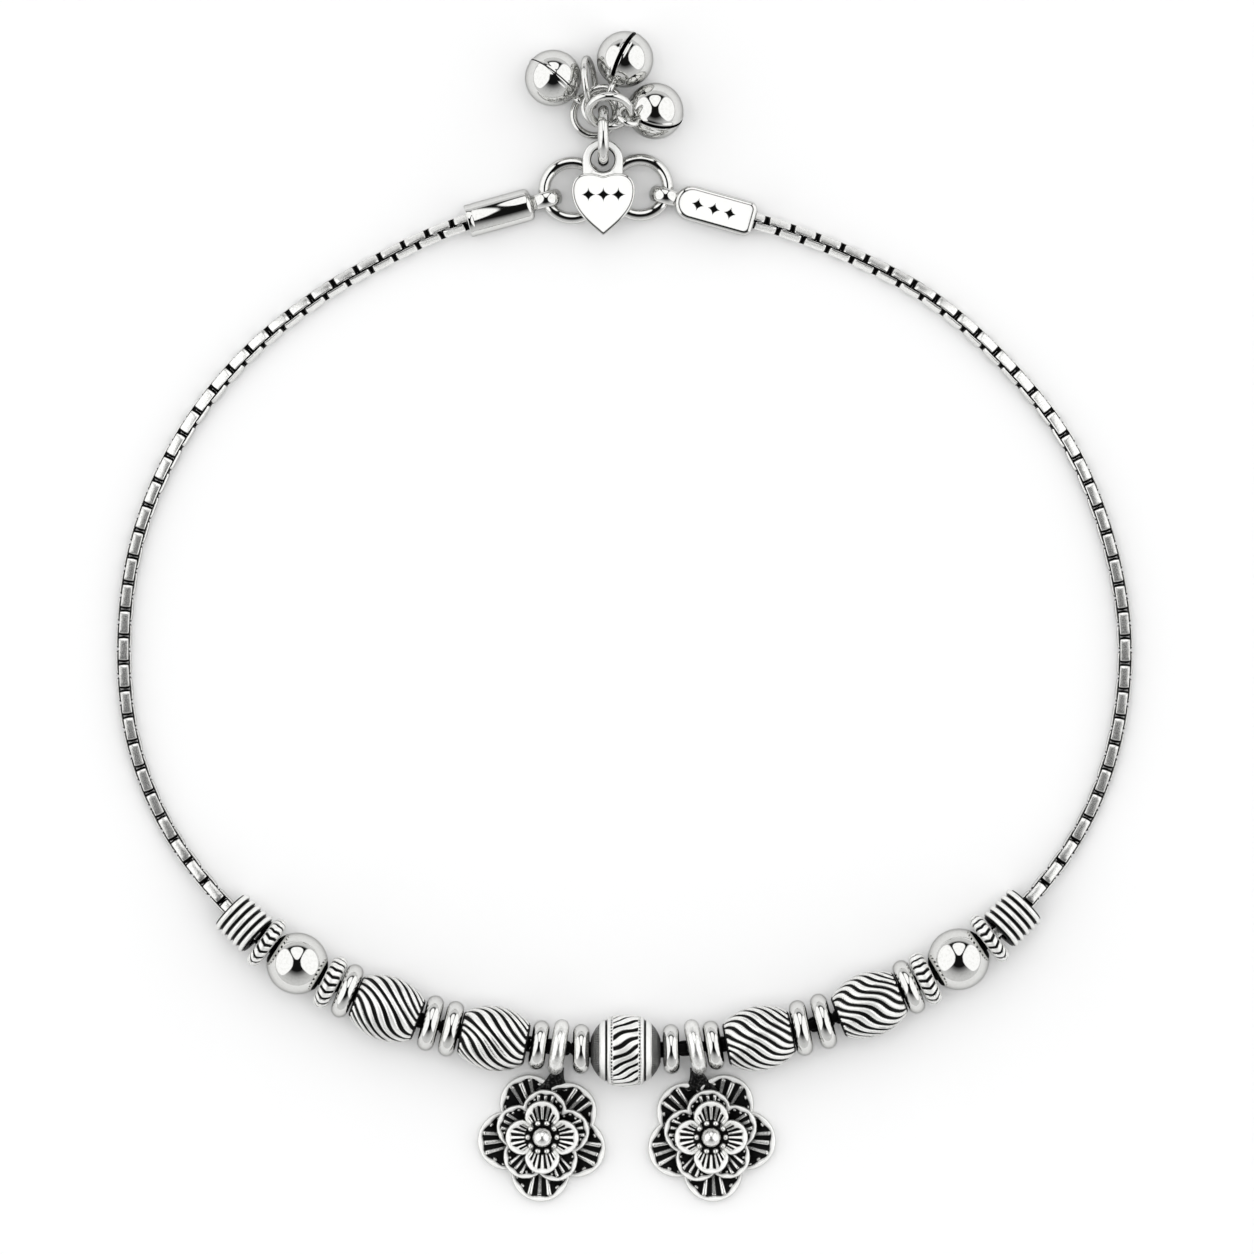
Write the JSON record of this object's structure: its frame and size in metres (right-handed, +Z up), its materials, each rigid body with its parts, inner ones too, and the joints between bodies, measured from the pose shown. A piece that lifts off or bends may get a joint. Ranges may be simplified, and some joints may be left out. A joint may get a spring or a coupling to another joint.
{
  "type": "payal anklet",
  "caption": "Oxidised silver anklet, closed: box chain, row of ribbed, ball and ring beads, two cast flower drops, ring clasp with a heart tag and small round bells.",
  "frame": {"origin": "on the table under the centre of the whole outline", "axes": "+Z up from the table, +Y from the flowers towards the clasp and bells, +X to the right seen from above"},
  "size_m": [0.0916, 0.1054, 0.0065],
  "materials": {
    "polished_silver": "sterling silver, high mirror polish",
    "oxidised_silver": "cast sterling silver, polished high points over blackened recesses"
  },
  "bodies": {
    "root": {"ball_left": "polished_silver", "ball_right": "polished_silver", "end_cap_left": "polished_silver", "end_tag_right": "polished_silver", "heart_tag": "polished_silver", "big_ring_left": "polished_silver", "big_ring_right": "polished_silver", "link_ring": "polished_silver", "bell_ring_1": "polished_silver", "bell_ring_2": "polished_silver", "bell_ring_3": "polished_silver", "spare_ring": "polished_silver", "bell_1": "polished_silver", "bell_2": "polished_silver", "bell_3": "polished_silver", "plain_ring_1": "polished_silver", "plain_ring_2": "polished_silver", "plain_ring_3": "polished_silver", "plain_ring_4": "polished_silver", "plain_ring_5": "polished_silver", "plain_ring_6": "polished_silver", "plain_ring_7": "polished_silver", "plain_ring_8": "polished_silver", "plain_ring_9": "polished_silver", "plain_ring_10": "polished_silver", "chain": "oxidised_silver", "stopper_left": "oxidised_silver", "stopper_right": "oxidised_silver", "centre_bead": "oxidised_silver", "flower_left": "oxidised_silver", "flower_right": "oxidised_silver", "barrel_1": "oxidised_silver", "barrel_2": "oxidised_silver", "barrel_3": "oxidised_silver", "barrel_4": "oxidised_silver", "chevron_ring_1": "oxidised_silver", "chevron_ring_2": "oxidised_silver", "chevron_ring_3": "oxidised_silver", "chevron_ring_4": "oxidised_silver"}
  },
  "joints": []
}
